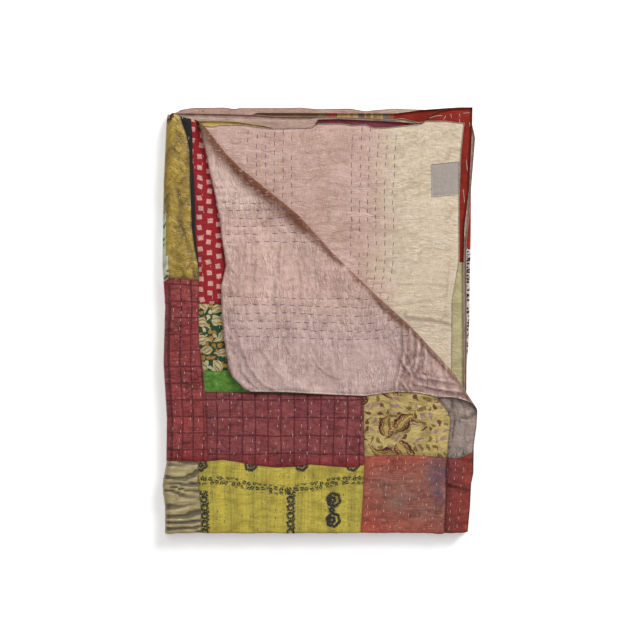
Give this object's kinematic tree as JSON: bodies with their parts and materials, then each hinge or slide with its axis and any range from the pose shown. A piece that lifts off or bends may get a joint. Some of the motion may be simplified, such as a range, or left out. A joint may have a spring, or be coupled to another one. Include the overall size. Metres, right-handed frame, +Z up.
{
  "type": "kantha quilt",
  "caption": "Folded hand-stitched patchwork quilt lying flat, its top corner turned over to show the plain back, with a bare sewn label.",
  "frame": {"origin": "bottom centre of the folded quilt's box, on the surface it lies on", "axes": "+Z up, +X towards the free side edges, +Y from the bottom fold towards the free top edges"},
  "size_m": [0.5682, 0.7654, 0.0341],
  "materials": {
    "quilt": "matt patched cotton and silk with running stitches",
    "label": "matt woven tape, bare"
  },
  "bodies": {
    "root": {"quilt": "quilt", "label": "label"}
  },
  "joints": []
}
